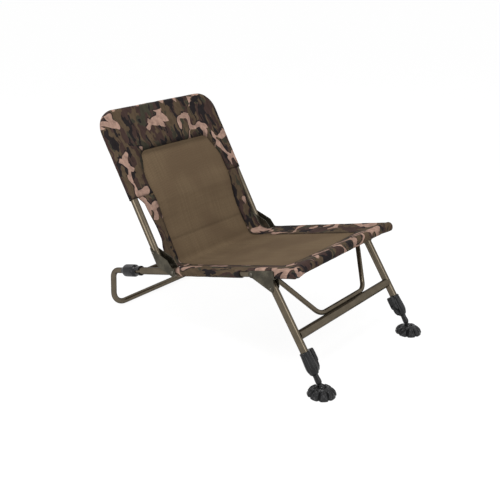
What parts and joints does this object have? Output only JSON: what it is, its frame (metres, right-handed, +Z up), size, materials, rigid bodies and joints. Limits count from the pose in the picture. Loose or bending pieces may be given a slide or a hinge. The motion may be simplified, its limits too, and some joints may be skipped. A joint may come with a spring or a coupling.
{
  "type": "carp fishing chair",
  "caption": "Low folding fishing chair with a tilted cloth seat, folding backrest, extending front legs with swivelling mud feet and a sliding rear bar.",
  "frame": {"origin": "middle of the footprint on the ground, at rest", "axes": "+Z up, +Y towards the back of the chair, so that a person in the seat faces -Y, and +X to that person's left"},
  "size_m": [0.538, 0.871, 0.6235],
  "materials": {
    "frame_paint": "bronze-olive satin paint with bright highlights",
    "bracket_paint": "bronze-olive satin paint on pressed steel",
    "rivet_steel": "plain rivets and pins",
    "black_plastic": "moulded black nylon",
    "foot_rubber": "moulded black rubber",
    "camo_cloth": "woven polyester printed with a general camouflage of olive brown, purple brown, grey green, near black and pink tan",
    "mesh_cloth": "brown knitted spacer mesh with fine upright ribs"
  },
  "bodies": {
    "seat_frame": {"rail_left": "frame_paint", "rail_right": "frame_paint", "front_cross_tube": "frame_paint", "rear_cross_tube": "frame_paint", "rail_cap_left": "black_plastic", "rail_cap_right": "black_plastic", "leg_hinge_pin_left": "rivet_steel", "leg_hinge_pin_right": "rivet_steel", "back_hinge_pin_left": "rivet_steel", "back_hinge_pin_right": "rivet_steel", "seat_sleeve_left": "camo_cloth", "seat_sleeve_right": "camo_cloth", "seat_mesh_panel": "mesh_cloth", "seat_side_strip_left": "camo_cloth", "seat_side_strip_right": "camo_cloth", "seat_front_band": "camo_cloth", "lumbar_panel": "mesh_cloth"},
    "backrest": {"back_tube": "frame_paint", "back_elbow_left": "bracket_paint", "back_elbow_right": "bracket_paint", "back_elbow_rivet_left": "rivet_steel", "back_elbow_rivet_right": "rivet_steel", "back_sleeve": "camo_cloth", "back_mesh_panel": "mesh_cloth", "back_top_panel": "camo_cloth", "back_side_panel_left": "camo_cloth", "back_side_panel_right": "camo_cloth"},
    "leg_frame": {"leg_left": "frame_paint", "leg_right": "frame_paint", "crossbar": "frame_paint", "leg_brace": "frame_paint", "leg_elbow_left": "bracket_paint", "leg_elbow_right": "bracket_paint", "leg_elbow_rivet_left": "rivet_steel", "leg_elbow_rivet_right": "rivet_steel", "leg_clamp_left": "black_plastic", "leg_clamp_right": "black_plastic", "lever_pin_left": "rivet_steel", "lever_pin_right": "rivet_steel"},
    "rear_bar": {"rear_bar": "frame_paint"},
    "rear_collar_left": {"rear_collar_left": "black_plastic"},
    "clamp_lever_left": {"clamp_lever_left": "black_plastic"},
    "inner_leg_left": {"inner_leg_left": "black_plastic"},
    "foot_cup_left": {"foot_cup_left": "black_plastic"},
    "foot_pad_left": {"foot_pad_left": "foot_rubber"},
    "rear_collar_right": {"rear_collar_right": "black_plastic"},
    "clamp_lever_right": {"clamp_lever_right": "black_plastic"},
    "inner_leg_right": {"inner_leg_right": "black_plastic"},
    "foot_cup_right": {"foot_cup_right": "black_plastic"},
    "foot_pad_right": {"foot_pad_right": "foot_rubber"}
  },
  "joints": [
    {"name": "back_fold", "type": "hinge", "parent": "seat_frame", "child": "backrest", "pos_m": [0, 0.12624, 0.2019], "axis": [1, 0, 0], "range_deg": [0, 104], "deforming": ["lumbar_panel"]},
    {"name": "leg_fold", "type": "hinge", "parent": "seat_frame", "child": "leg_frame", "pos_m": [0, -0.16574, 0.27904], "axis": [1, 0, 0], "range_deg": [0, 105]},
    {"name": "rear_bar_slide", "type": "slide", "parent": "seat_frame", "child": "rear_bar", "axis": [0, 0.9668, -0.2555], "range_m": [-0.025, 0.06]},
    {"name": "rear_collar_turn_left", "type": "hinge", "parent": "seat_frame", "child": "rear_collar_left", "pos_m": [0.23, 0.30801, 0.15388], "axis": [0, 0.9668, -0.2555], "range_deg": [0, 90]},
    {"name": "rear_collar_turn_right", "type": "hinge", "parent": "seat_frame", "child": "rear_collar_right", "pos_m": [-0.23, 0.30801, 0.15388], "axis": [0, 0.9668, -0.2555], "range_deg": [0, 90]},
    {"name": "leg_extend_left", "type": "slide", "parent": "leg_frame", "child": "inner_leg_left", "axis": [0, -0.5678, -0.8231], "range_m": [-0.012, 0.09]},
    {"name": "clamp_lever_turn_left", "type": "hinge", "parent": "leg_frame", "child": "clamp_lever_left", "pos_m": [0.2115, -0.35817, 0.07406], "axis": [0, -0.8231, 0.5678], "range_deg": [0, 100]},
    {"name": "foot_tilt_left", "type": "hinge", "parent": "inner_leg_left", "child": "foot_cup_left", "pos_m": [0.23, -0.3965, 0.0185], "axis": [1, 0, 0], "range_deg": [-27, 10]},
    {"name": "foot_spin_left", "type": "hinge", "parent": "foot_cup_left", "child": "foot_pad_left", "pos_m": [0.23, -0.3965, 0.0185], "axis": [0, 0, 1], "continuous": true},
    {"name": "leg_extend_right", "type": "slide", "parent": "leg_frame", "child": "inner_leg_right", "axis": [0, -0.5678, -0.8231], "range_m": [-0.012, 0.09]},
    {"name": "clamp_lever_turn_right", "type": "hinge", "parent": "leg_frame", "child": "clamp_lever_right", "pos_m": [-0.2115, -0.35817, 0.07406], "axis": [0, 0.8231, -0.5678], "range_deg": [0, 100]},
    {"name": "foot_tilt_right", "type": "hinge", "parent": "inner_leg_right", "child": "foot_cup_right", "pos_m": [-0.23, -0.3965, 0.0185], "axis": [1, 0, 0], "range_deg": [-27, 10]},
    {"name": "foot_spin_right", "type": "hinge", "parent": "foot_cup_right", "child": "foot_pad_right", "pos_m": [-0.23, -0.3965, 0.0185], "axis": [0, 0, 1], "continuous": true}
  ]
}
